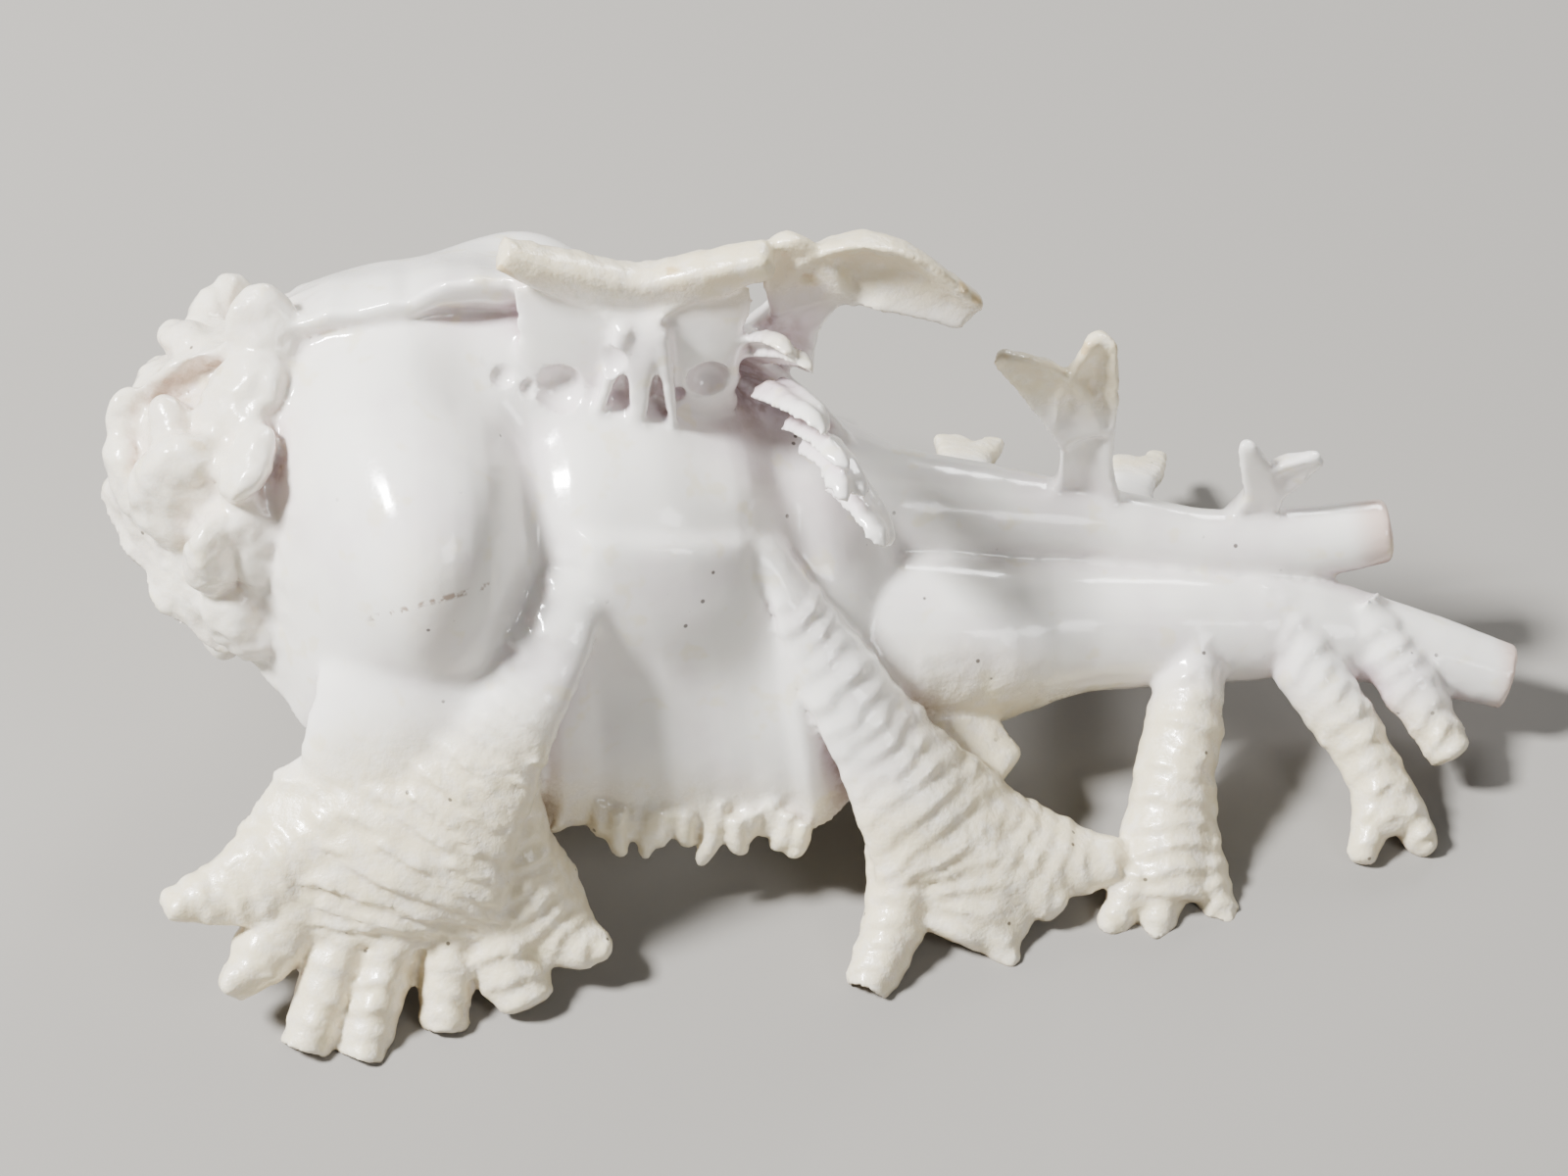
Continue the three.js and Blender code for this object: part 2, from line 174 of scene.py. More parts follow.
# outlines are (r, z) points around the whorl, nodes are (z, height) for each stretch
PLAIN = [(4.6, 11.3), (7.2, 9.9), (8.9, 6.2), (8.4, 1.2), (8.3, -3.5), (6, -8.6), (3.2, -12),
         (0.6, -11), (0.4, -3), (0.4, 6), (2.2, 11.4)]
VARIX = [(5, 12.2), (7.9, 10.9), (10.2, 6.9), (12.4, 2), (12.2, -3.6), (8.8, -8), (3.6, -12.2),
         (0.6, -11), (0.4, -3), (0.4, 6), (2.2, 11.4)]
LIP = [(5.2, 12.2), (8.2, 10.9), (11, 7.4), (12.3, 1), (12.2, -4.8), (11.2, -10), (4.4, -13),
       (0.6, -11), (0.4, -3), (0.4, 6), (2.2, 11.4)]
SPIRE_VARIX = [(5.2, 13.1), (8.4, 11.9), (10.9, 8.4), (12.2, 2), (11, -3.6), (8, -8), (3.6, -12.2),
               (0.6, -11), (0.4, -3), (0.4, 6), (2.2, 11.4)]
NODES = [(5.2, 2.5), (0.2, 3.0), (5.0, 2.2), (9.0, 2.2)]
NODE_HALF_HEIGHT = 3.8
NODE_HALF_ARC = 26
OUTLINE_POINTS = 88
plain_outline = closed_curve(PLAIN, OUTLINE_POINTS)
varix_outline = closed_curve(VARIX, OUTLINE_POINTS)
lip_outline = closed_curve(LIP, OUTLINE_POINTS)
spire_outline = closed_curve(SPIRE_VARIX, OUTLINE_POINTS)
print("outline points", len(plain_outline))

# %% [markdown]
# ## Relief of a whorl
# The newest stretch carries a flat, slightly raised apron between the two ridges that run out
# into the front fronds, and its skin climbs the face of the last varix. Such soft relief could be
# sculpted, but adding it to the radius, place by place, keeps it smooth and easy to change.

# %% One growth line
def whorl_z(z, turns):
    top = APEX_Z - SUTURE_DROP * 0.42 ** turns
    return top - (WHORL_TOP_Z - z) * math.exp(-0.12 * turns - 0.13 * turns * turns)


def whorl_ring(index, to_varix, flare, inset=0.0):
    """The outline an arc before the varix that ends this stretch. Flare 1 is the full varix."""
    turns = (index * SPACING + to_varix) / 360
    reach = RADIUS_PER_TURN ** turns
    arc = min(to_varix, SPACING)
    varix = (lip_outline, varix_outline, varix_outline, spire_outline)[min(index, 3)]
    node_z, node_height = NODES[min(index, 3)]
    roll = LIP_ROLL + 360 * turns
    ring = []
    for (r0, z0), (r1, z1) in zip(plain_outline, varix):
        outer = min(1, r0 / 8)
        coarse_edge = 0.035 * noise.noise(Vector((z0 * 1.1, index * 7.3, 0)))
        fine_edge = 0.02 * noise.noise(Vector((z0 * 3.5, 3, index)))
        edge = 1 + coarse_edge + fine_edge
        r = r0 + (r1 * edge - r0) * flare
        z = z0 + (z1 - z0) * flare
        swelling = outer * hump(node_z, NODE_HALF_HEIGHT, z0) * hump(SPACING / 2, NODE_HALF_ARC, arc)
        r += node_height * swelling
        lumps = 0.7 if index > 2 else 0.14
        r += lumps * outer * noise.noise(Vector((z0 * 0.45, roll * 0.045, index)))
        if index > 2:
            r += 0.55 * outer * noise.noise(Vector((z0 * 1.1, roll * 0.12, index + 4)))
        if index == 0:
            # the raised apron, with a dip above and below it
            window = step_up(-7.4, -6.4, z0) * (1 - step_up(-0.8, 0.2, z0))
            r += 0.5 * window * (1 - step_up(65, 70, arc)) * step_up(15, 50, arc) * outer
            r -= 1.2 * outer * hump(1.4, 1.2, z0) * step_up(20, 50, arc) * (1 - step_up(88, 108, arc))
            r -= 1.1 * outer * hump(-8.2, 1.2, z0) * step_up(30, 60, arc)
            # sunken just after the last varix, and hollow towards the lip
            r -= 0.8 * hump(108, 20, arc) * step_up(-9, -5, z0) * (1 - step_up(2.5, 6, z0))
            r -= 0.9 * window * hump(28, 20, arc)
            # the new skin climbs the face of the last varix
            r += 3.2 * outer * step_up(92, 129, arc) ** 1.6 * hump(-0.4, 4.6, z0)
        ring.append(place(whorl_z(z, turns), max(0.15, r * reach - inset * outer), roll))
    return ring


print("points in a growth line", len(whorl_ring(0, 0, 1)))

# %% [markdown]
# ## Stretches of growth
# Ten stretches, newest first, reach from the lip to the apex. Each starts a little under the last
# varix, so that neighbours overlap and fuse later on. The oldest are tiny and need fewer rings.

# %% Stretches
STRETCHES = 10
OVERLAP_ARC = 9
FLARE_ARC = 60
FLARE_POWER = 1.9
for index in range(STRETCHES):
    step = 3 if index < 4 else 7.5
    rings = []
    to_varix = SPACING + OVERLAP_ARC
    while to_varix > 0:
        flare = max(0, 1 - to_varix / FLARE_ARC) ** FLARE_POWER
        rings.append(whorl_ring(index, to_varix, flare))
        to_varix -= step
    rings.append(whorl_ring(index, 0, 1))
    # the edge curls over and the face towards new growth is hollow
    rings.append(whorl_ring(index, -0.6, 0.97, 0.25))
    rings.append(whorl_ring(index, -0.4, 0.9, 0.7))
    if index:
        rings.append(whorl_ring(index, 3, 0.62, 0.8))
        rings.append(whorl_ring(index, 8, 0.28, 0.6))
        rings.append(whorl_ring(index, 10, 0.05, 0.3))
    skin(f"stretch_{index}", rings)
print("body stretches", len(forms))

# %% [markdown]
# ## Siphonal canal
# Two tubes side by side: the newest canal, and the old one that it grew past. The crease where
# they touch stays as a fine seam. Both tips are open. A curve with a bevel would give a plain
# tube, and the skin through rings adds growth rings and a bore that narrows inwards.

# %% Canal tubes
CANAL = [(-8, 4.6, -42, 4), (-14.6, 4.3, -40, 3.3), (-18.2, 3.7, -40, 2.6), (-23.7, 3.3, -40, 2.2),
         (-26.7, 3.1, -40, 1.95), (-30, 3.5, -40, 1.6), (-33, 4.1, -38, 1.4), (-34.9, 4.5, -36, 1.25)]
OLD_CANAL = [(-6, 0.8, 70, 4), (-11, 0.4, 70, 2.5), (-15, 0.3, 70, 1.9), (-19, 0.2, 70, 1.4),
             (-23, 0.4, 0, 1.3), (-26.5, 0.3, 40, 1.35), (-29.8, 1, 90, 1.2)]


def tube(name, stations, count, bore):
    """A tube through (z, r, roll, radius) stations, with an open tip."""
    centres = [place(z, r, roll) for z, r, roll, radius in stations]
    path = open_curve([(*centre, station[3]) for centre, station in zip(centres, stations)], count)
    rings = []
    for i, (x, y, z, radius) in enumerate(path):
        before, after = Vector(path[max(i - 1, 0)][:3]), Vector(path[min(i + 1, count - 1)][:3])
        along = (after - before).normalized()
        up = (Vector((0, 0, 1)) - along * along.z).normalized()
        across = up.cross(along)
        growth = 0.006 * math.sin(i * 1.9) + 0.05 * noise.noise(Vector((i * 0.16, radius, 1)))
        rings.append(circle(Vector((x, y, z)), across, up, radius * (1 + growth), 28, i))
    tip = rings[-1]
    centre = sum(tip, Vector()) / len(tip)
    for shrink, depth in ((bore + 0.08, -0.12), (bore, 0.25), (bore * 0.8, 1.4), (0.15, 2.6)):
        rings.append([centre + (point - centre) * shrink - along * depth for point in tip])
    return skin(name, rings)


def circle(centre, across, up, radius, sides, seed):
    ring = []
    for k in range(sides):
        angle = 2 * math.pi * k / sides
        wave = 1 + 0.03 * noise.noise(Vector((math.cos(angle), math.sin(angle), seed * 0.08)))
        ring.append(centre + (across * math.cos(angle) + up * math.sin(angle)) * radius * wave)
    return ring


tube("canal", CANAL, 64, 0.52)
tube("old_canal", OLD_CANAL, 56, 0.5)
print("canal tubes made")

# %% [markdown]
# ## Fronds
# A frond is the frozen edge of the growing mantle: a folded tongue, hollow on the side towards
# new growth. Its back carries overlapping scales, one for each pause in growth, so the back and
# the edges step out a little and drop back at every scale. The ends of some fingers stay open.
# Scales could be separate leaves, but as steps of the outline they fuse without gaps.

# %% Frond tools
SCALE_PITCH = 0.95


def frond(roll, stations, fold=0.25, scales=0.2, open_tip=False, sides=22, seed=0.0):
    """A frond through (z, r, lean, half width, half thickness) stations."""
    length = sum((place(a[0], a[1], roll + a[2]) - place(b[0], b[1], roll + b[2])).length
                 for a, b in zip(stations, stations[1:]))
    count = max(6, int(length / 0.2))
    path = open_curve(stations, count)
    centres = [place(z, r, roll + lean) for z, r, lean, width, thick in path]
    rings = []
    travelled = 0
    for i, (z, r, lean, width, thick) in enumerate(path):
        before, after = centres[max(i - 1, 0)], centres[min(i + 1, count - 1)]
        travelled += (centres[i] - before).length
        along = (after - before).normalized()
        across = backwards(roll + lean).cross(along).normalized()
        back = along.cross(across)
        rings.append(frond_ring(centres[i], across, back, width, thick, fold, scales, sides,
                                travelled, seed + roll * 0.7))
    tip = rings[-1]
    centre = sum(tip, Vector()) / len(tip)
    if open_tip:
        for shrink, depth in ((0.72, 0.05), (0.6, -0.35), (0.3, -0.7)):
            rings.append([centre + (point - centre) * shrink + along * depth for point in tip])
    else:
        rings.append([centre + (point - centre) * 0.7 + along * 0.16 for point in tip])
        rings.append([centre + (point - centre) * 0.25 + along * 0.22 for point in tip])
    return skin("frond", rings)


def frond_ring(centre, across, back, width, thick, fold, scales, sides, travelled, seed):
    ring = []
    for k in range(sides):
        angle = 2 * math.pi * k / sides
        side, rise = math.cos(angle), math.sin(angle)
        place_in_noise = Vector((side * width * 0.55, travelled * 0.35, seed))
        phase = travelled / SCALE_PITCH + 0.55 * noise.noise(place_in_noise) - 0.3 * side * side
        tooth = (phase % 1) ** 1.6
        strength = scales * (0.45 + 0.55 * max(0, rise)) * (0.7 + 0.6 * noise.noise(place_in_noise * 1.7))
        stretch = 1 + 0.07 * noise.noise(Vector((travelled * 0.9, seed, side)))
        x = side * (width * stretch + strength * tooth * 0.9)
        y = rise * thick + fold * width * rise * rise + strength * tooth * max(0, rise)
        ring.append(centre + across * x + back * y)
    return ring


print("frond tools ready")

# %% [markdown]
# ## Shoulder hand of the lip
# The newest varix is the lip. Its shoulder frond spreads into a broad hand of stubby fingers that
# reaches the ground, and the shell lies on it. Each finger is its own frond, set into the hand,
# because splitting one flat sheet would leave no scales and no round backs on the fingers.

# %% Shoulder hand
LIP_HAND = [
    (0.6, 6.5, 60, 1.3, 0.8), (1.9, 8.1, 38, 2.1, 0.9), (3.6, 9.7, 21, 2.9, 1),
    (5.2, 11.6, 11, 3.8, 0.9), (6.5, 13.6, 4, 4.7, 0.75), (7, 15.2, -2, 5.4, 0.65),
    (7.1, 16.4, -4, 5.1, 0.5)]
LIP_FINGERS = [
    [(2.8, 10.6, 13, 1.2, 0.9), (2.4, 13.2, 4, 1.7, 0.9), (1.2, 15, -1, 1.9, 0.8),
     (-0.3, 16.3, -2, 1.2, 0.55), (-1.6, 16.7, -1, 0.5, 0.35)],
    [(3.2, 12, 6, 1.1, 0.9), (2.8, 14.8, -1, 1.5, 0.95), (2, 17, -3, 1.5, 0.75),
     (1.1, 18.7, -3, 1, 0.45)],
    [(3.9, 11.8, 9, 0.9, 1.1), (4, 15, -2, 1, 1.25), (4.1, 17.6, -4, 1, 0.85),
     (4, 19.8, -5, 0.85, 0.7)],
    [(4.8, 11.8, 9, 0.9, 1.1), (5.7, 15.2, -2, 1, 1.3), (6.4, 18.2, -4, 1.05, 0.9),
     (6.9, 20.9, -5, 0.9, 0.75)],
    [(5.8, 11.8, 9, 0.9, 1.1), (7.2, 15, -2, 1, 1.3), (8.2, 18, -4, 1.05, 0.9),
     (8.9, 20.8, -5, 0.9, 0.75)],
    [(6.4, 11.4, 10, 1.1, 0.9), (8.4, 14.2, 0, 1.4, 1), (10.2, 16.8, -3, 1.3, 0.8),
     (11.7, 19, -3, 0.65, 0.5)],
    [(6.8, 11.2, 11, 1.2, 0.9), (9.2, 13.6, 2, 1.7, 0.9), (11.6, 15.2, 0, 1.5, 0.7),
     (14.2, 16.2, 0, 0.5, 0.4)],
]
WEB = [(5.2, 6, 62, 1, 0.5), (6, 7.5, 42, 2.5, 0.8), (6.6, 9.4, 24, 3, 0.9),
       (7.4, 12, 9, 2.7, 0.8), (8.6, 14, 2, 2.2, 0.7)]
frond(LIP_ROLL, LIP_HAND, 0.2, 0.5, sides=44, seed=1.0)
for number, stations in enumerate(LIP_FINGERS):
    frond(LIP_ROLL, stations, 0.3, 0.34, open_tip=number in (2, 3, 4), seed=2.0 + number)
# the smooth web of the lip, between the whorl and the hand
frond(LIP_ROLL, WEB, 0.1, 0.03, sides=32, seed=9.0)
print("forms with the shoulder hand", len(forms))

# %% [markdown]
# ## Low hand of the lip
# A second, smaller hand stands low on the whorl, where the whorl draws in to the canal. It is
# made like the first one, so that the two read as the same kind of growth.

# %% Low hand
LOW_HAND = [
    (-5.8, 5.6, 64, 0.9, 0.3), (-7, 6.1, 46, 1.2, 0.5), (-8.3, 7.0, 31, 1.5, 0.8),
    (-10.5, 8.9, 15, 1.9, 0.95), (-12.4, 10.8, 7, 2.6, 0.85), (-14, 12.6, 2, 3.3, 0.7),
    (-14.2, 14.2, 0, 3, 0.55), (-13.8, 15.4, 0, 2, 0.45)]
LOW_FINGERS = [
    [(-10.6, 9.6, 13, 1, 0.8), (-12, 12, 3, 1.4, 0.95), (-12, 14.8, 0, 1.15, 0.85),
     (-11, 17.7, 0, 0.85, 0.65)],
    [(-12, 10.6, 8, 1, 0.8), (-13.8, 13, 1, 1.3, 0.85), (-15.3, 14.8, 0, 1.1, 0.6),
     (-16.3, 16.3, 0, 0.4, 0.3)],
    [(-12.4, 9.8, 8, 1.1, 0.8), (-15, 11.6, 1, 1.7, 0.85), (-18, 12.4, 0, 1.5, 0.6),
     (-20.2, 12.4, 1, 0.7, 0.45)],
    [(-13, 10.6, 6, 1, 0.7), (-15.4, 12.8, 1, 1.2, 0.8), (-18, 14, 0, 0.8, 0.45)],
]
LOW_WEB = [(-10, 4, -4, 3, 1), (-12.4, 7.2, -2, 2.4, 0.7), (-15.4, 9.8, 0, 1.6, 0.5)]
frond(LIP_ROLL, LOW_HAND, 0.2, 0.34, sides=36, seed=11.0)
for number, stations in enumerate(LOW_FINGERS):
    frond(LIP_ROLL, stations, 0.3, 0.3, open_tip=number == 0, seed=12.0 + number)
frond(LIP_ROLL, LOW_WEB, 0.1, 0.12, seed=16.0)
print("forms with the low hand", len(forms))

# %% [markdown]
# ## Stalks along the canal
# Three stalks follow the lip down the canal, two of them forked. A fork is a stem with one frond
# for each end, which is simpler than splitting an outline and leaves the same notch.

# %% Canal stalks
CANAL_STALKS = [
    [(-22.4, 2.6, 2, 0.9, 0.8), (-22.6, 5.8, 0, 1.3, 1.05), (-22.2, 9.4, -1, 1.55, 1),
     (-22.1, 12, -1, 1.9, 0.8), (-22.1, 13.6, -1, 2.1, 0.5)],
    [(-21.8, 10.4, -1, 0.9, 0.8), (-21, 12.8, -1, 0.9, 0.7), (-19.9, 14.9, -1, 0.5, 0.4)],
    [(-22.2, 10.8, -1, 0.9, 0.8), (-21.9, 13.2, -1, 0.9, 0.7), (-21.6, 15.4, -1, 0.6, 0.45)],
    [(-22.6, 10.6, -1, 0.9, 0.8), (-23.4, 12.6, -1, 0.9, 0.7), (-24.3, 14.4, -1, 0.6, 0.45)],
    [(-25.4, 2, 2, 1, 0.8), (-27, 4.6, 0, 1.3, 1), (-29, 7.4, 0, 1.1, 0.9),
     (-30, 9.2, 0, 1.2, 0.7), (-30.4, 10.6, 0, 1.2, 0.5)],
    [(-29.6, 8.4, 0, 0.8, 0.7), (-29.6, 10.2, 0, 0.7, 0.6), (-29.3, 11.7, 0, 0.5, 0.4)],
    [(-30, 8.4, 0, 0.8, 0.7), (-30.9, 9.9, 0, 0.8, 0.6), (-31.8, 11.2, 0, 0.5, 0.4)],
    [(-28.8, 2.4, 2, 1, 0.8), (-30.9, 5, 0, 1.15, 0.8), (-32.6, 7.6, 0, 0.8, 0.5)],
]
for number, stations in enumerate(CANAL_STALKS):
    frond(LIP_ROLL, stations, 0.35, 0.34, seed=20.0 + number)
print("forms with the canal stalks", len(forms))

# %% [markdown]
# ## Frills of the lip
# Small curled frills follow the edge of the lip between the two hands. Their sizes are drawn from
# a seeded generator, so they look grown and still come out the same in every run.

# %% Lip frills
FRILLS = 15
rng = random.Random(8)
for number in range(FRILLS):
    z = 0.3 - 0.62 * number
    r = 12.2 - 0.35 * math.sin(number * 1.7)
    out = rng.uniform(0.05, 0.5) + (0.9 if number in (5, 9) else 0)
    turn = rng.uniform(-0.5, 0.5)
    frond(LIP_ROLL, [(z, r - 0.9, 3, 0.42, 0.4), (z + turn * 0.4, r + out * 0.4, 0, 0.36, 0.3),
                     (z + turn, r + out, -2, 0.24, 0.2)], 0.5, 0.1, sides=12, seed=26.0 + z)
print("forms with the frills", len(forms))

# %% [markdown]
# ## Top varix
# Seen from the growing side: a thin ribbed wall that ends in a wide cross bar, a channelled frond
# that curls towards the canal, and two forked stalks. A deep fold makes the open channels. They
# could be cut out instead, but a folded outline keeps the thin edges that the real fronds have.

# %% Top fronds
TOP_ROLL = LIP_ROLL + SPACING
TOP_FRONDS = [
    # three ribs, then the wall between them and the cross bar on top of it
    ([(-1, 6.3, -26, 0.2, 0.2), (-0.9, 7.7, -17, 0.35, 0.35), (-0.7, 9.3, -11, 0.5, 0.5),
      (-0.4, 10.4, -7, 0.9, 0.5), (-0.3, 11.1, -4, 2.2, 0.6)], 0.6),
    ([(0.6, 6.3, -22, 0.12, 0.12), (0.3, 8, -15, 0.22, 0.25), (0, 10.2, -8, 0.3, 0.4)], 0.3),
    ([(-2.4, 6.3, -22, 0.12, 0.12), (-1.9, 8, -15, 0.22, 0.25), (-1.3, 10.2, -8, 0.3, 0.4)], 0.3),
    ([(-0.5, 4.5, -8, 3.9, 1), (-0.5, 7.5, -7, 4, 0.8), (-0.4, 9.4, -5, 4, 0.55),
      (-0.2, 11.2, -2, 4.2, 0.4)], 0.02),
    ([(4.5, 12.4, -3, 0.5, 0.6), (2.2, 11.5, -3, 0.8, 0.85), (-0.3, 11, -3, 0.9, 0.85),
      (-2.4, 11.9, -3, 0.85, 0.85), (-4.6, 13.2, -3, 0.6, 0.7)], 0.55),
    # the curled frond and its short side lobe
    ([(-5.6, 7, 4, 1.7, 1), (-6.2, 9.6, 1, 1, 0.8), (-6.8, 11.6, 0, 1.4, 0.7),
      (-8.8, 12.5, -2, 1.6, 0.6), (-12.1, 11.2, -3, 0.8, 0.5)], 0.75),
    ([(-6.6, 10.6, 0, 1.6, 0.8), (-5.8, 12.2, 0, 1.3, 0.6), (-5, 13.2, 0, 0.8, 0.4)], 0.5),
    # two forked stalks over the canal
    ([(-18.4, 0.2, 0, 1.6, 1.2), (-17.9, 3.2, 0, 1, 0.6), (-17.3, 6.4, 0, 1.15, 0.5),
      (-17.2, 9.6, 0, 0.55, 0.35)], 0.8),
    ([(-17.5, 4.6, 0, 0.9, 0.45), (-15.9, 7, 0, 1.1, 0.4), (-13.8, 8.5, 0, 0.4, 0.3)], 0.5),
    ([(-24.6, 0.2, 0, 1.2, 0.9), (-24.8, 2.2, 0, 0.7, 0.6), (-25.3, 3.4, 0, 0.75, 0.5),
      (-26.3, 4.4, 0, 0.4, 0.3)], 0.7),
    ([(-24.9, 2, 0, 0.7, 0.5), (-24.2, 3.6, 0, 0.6, 0.45), (-23.5, 4.9, 0, 0.35, 0.3)], 0.5),
]
for number, (stations, fold) in enumerate(TOP_FRONDS):
    frond(TOP_ROLL, stations, fold, 0.14, seed=30.0 + number)
print("forms with the top fronds", len(forms))

# %% [markdown]
# ## Row of small open scales
# From the curled frond a row of small open scales runs down towards the low hand, each one lower
# than the last. They are tiny fronds with a deep fold, again with seeded sizes.

# %% Small scales
SMALL_SCALES = 9
rng = random.Random(5)
for number in range(SMALL_SCALES):
    along = number / (SMALL_SCALES - 1)
    z = -4.7 - 4.8 * along
    roll = 84 - 38 * along + 4 * math.sin(number * 2.4)
    r = 9.3 - 2.7 * along
    lift = (1.7 - 0.9 * along) * rng.uniform(0.7, 1.15)
    drift = rng.uniform(0.2, 1.1)
    stations = [(z + 0.6, r - 1.3, 7, 0.6, 0.4), (z, r, 0, 0.5, 0.26),
                (z - drift * 0.6, r + lift * 0.7, -5, 0.55, 0.2), (z - drift, r + lift, -8, 0.35, 0.14)]
    frond(roll, stations, 0.8, 0.12, sides=14, seed=40.0 + number)
print("forms with the small scales", len(forms))

# %% [markdown]
# ## Rear varix
# The third varix props the shell up from behind with a long shoulder frond. A short frond stands
# low on the whorl, and two forked stalks rise over the canal. It could copy the front varix, but
# it was grown when the shell was smaller, so its hand is narrower and has three fingers.

# %% Rear fronds
REAR_ROLL = TOP_ROLL + SPACING
REAR_FRONDS = [
    [(6, 6.6, 8, 2, 1.3), (6.2, 10, 3, 1.7, 1.1), (6.4, 14, 1, 1.8, 0.9),
     (6.4, 17.4, 0, 2.4, 0.8), (6.4, 19.2, 0, 2.1, 0.7)],
    [(5.6, 15.5, 0, 1.2, 0.8), (4.4, 18.4, 0, 0.9, 0.7), (3.6, 21.4, 0, 0.7, 0.6)],
    [(6.4, 17, 0, 1.2, 0.8), (6.6, 19.6, 0, 0.9, 0.7), (6.8, 22.2, 0, 0.8, 0.6)],
    [(7.2, 15.5, 0, 1.2, 0.8), (8.8, 18.2, 0, 0.9, 0.7), (10, 20.8, 0, 0.7, 0.6)],
    [(-4.4, 5, 6, 1.6, 1.1), (-5.6, 8.4, 2, 1.3, 0.9), (-7.2, 11.6, 0, 1.5, 0.7), (-8.8, 14.2, 0, 1, 0.5)],
    [(-13.8, 0.4, 0, 1.4, 1.1), (-14.4, 4, 0, 0.9, 0.8), (-15, 7, 0, 1, 0.7), (-14.7, 9.5, 0, 0.6, 0.4)],
    [(-15, 6.2, 0, 0.7, 0.6), (-15.8, 8, 0, 0.6, 0.5), (-16.5, 9.4, 0, 0.4, 0.35)],
    [(-20.2, 0.4, 0, 1.2, 1), (-21, 4, 0, 0.8, 0.7), (-21.4, 6.2, 0, 0.9, 0.6), (-21.5, 8.4, 0, 0.5, 0.4)],
    [(-21.4, 5.6, 0, 0.7, 0.5), (-22.3, 7.6, 0, 0.6, 0.45), (-23, 9.4, 0, 0.4, 0.35)],
]
for number, stations in enumerate(REAR_FRONDS):
    frond(REAR_ROLL, stations, 0.35, 0.2, seed=50.0 + number)
print("forms with the rear fronds", len(forms))

# %% [markdown]
# ## Worn spire
# On the small old whorls the fronds are worn down to knobbly lumps. Flattened balls, each sunk
# into the whorl by most of its radius and turned at random with a seed, give the same rounded
# knobs. Short fronds would look too fresh there.

# %% Lumps on the spire
LUMP_SUNK = 0.75
# (z, r, roll, radius)
SPIRE_LUMPS = [
    (15.2, 4.6, 62, 1.2), (14.6, 5.6, 34, 1.8), (12.9, 6.6, 72, 1.4), (12.6, 7.2, 50, 1.1),
    (13.4, 6.6, 14, 1.4), (16.4, 3.2, 80, 1), (16.6, 3.0, 30, 1.1), (12.2, 7.6, 92, 1.2),
    (14.2, 5.4, 112, 1.3), (12.4, 7.2, -14, 1.2), (13.6, 6.0, 150, 1.4), (12.8, 6.8, -60, 1.3),
    (14.8, 4.8, -100, 1.2), (13.4, 6.2, 200, 1.3)]
rng = random.Random(3)
for z, r, roll, radius in SPIRE_LUMPS:
    bpy.ops.mesh.primitive_ico_sphere_add(
        subdivisions=3, radius=radius, location=place(z, r - LUMP_SUNK * radius, roll),
        rotation=(rng.uniform(0, 3), rng.uniform(0, 3), rng.uniform(0, 3)), scale=(1.5, 1.1, 0.7))
    forms.append(bpy.context.object)
print("forms with the spire lumps", len(forms))

# %% [markdown]
# ## One grown skin
# A shell has no seams between its parts. Uniting the forms one by one with booleans would leave
# hard creases, so they are joined and remeshed into one skin, which rounds the places where they
# meet and drops everything inside.

# %% Join and remesh
VOXEL = 0.155
bpy.ops.object.select_all(action="DESELECT")
for obj in forms:
    obj.select_set(True)
bpy.context.view_layer.objects.active = forms[0]
bpy.ops.object.join()
shell = bpy.context.object
shell.name = "murex_shell_skin"


def use(obj, kind, **settings):
    """Adds a modifier with these settings and applies it."""
    bpy.ops.object.select_all(action="DESELECT")
    bpy.context.view_layer.objects.active = obj
    obj.select_set(True)
    modifier = obj.modifiers.new(kind.lower(), kind)
    for key, value in settings.items():
        setattr(modifier, key, value)
    bpy.ops.object.modifier_apply(modifier=modifier.name)


use(shell, "REMESH", mode="VOXEL", voxel_size=VOXEL)
print("skin after joining", len(shell.data.polygons))

# %% [markdown]
# ## Aperture and pits
# The aperture is where the animal lived: a hollow that follows the coil inwards and ends blind
# here. A row of pits lies at the foot of the cross bar. Both are cut with booleans, and each pit
# is found by looking inwards from outside, so that it sits on the skin wherever the skin is.

# %% Aperture and pits
HOLLOW_ARC = 150
MOUTH_ARC = 60
HOLLOW_SIDES = 40


def hollow_ring(arc):
    turns = arc / 360
    reach = RADIUS_PER_TURN ** turns
    taper = max(0.12, 1 - max(0, arc / HOLLOW_ARC) ** 3)
    widening = 1.4 * min(max(1 - arc / MOUTH_ARC, 0), 1.2)
    ring = []
    for k in range(HOLLOW_SIDES):
        angle = 2 * math.pi * k / HOLLOW_SIDES
        z = whorl_z(-0.6, turns) + (4.2 + widening) * reach * taper * math.cos(angle)
        r = (4.6 + widening) * reach + (2 + widening) * reach * taper * math.sin(angle)
        ring.append(place(z, r, LIP_ROLL + arc))
    return ring


hollow = skin("aperture_hollow", [hollow_ring(arc) for arc in range(HOLLOW_ARC, -21, -5)])
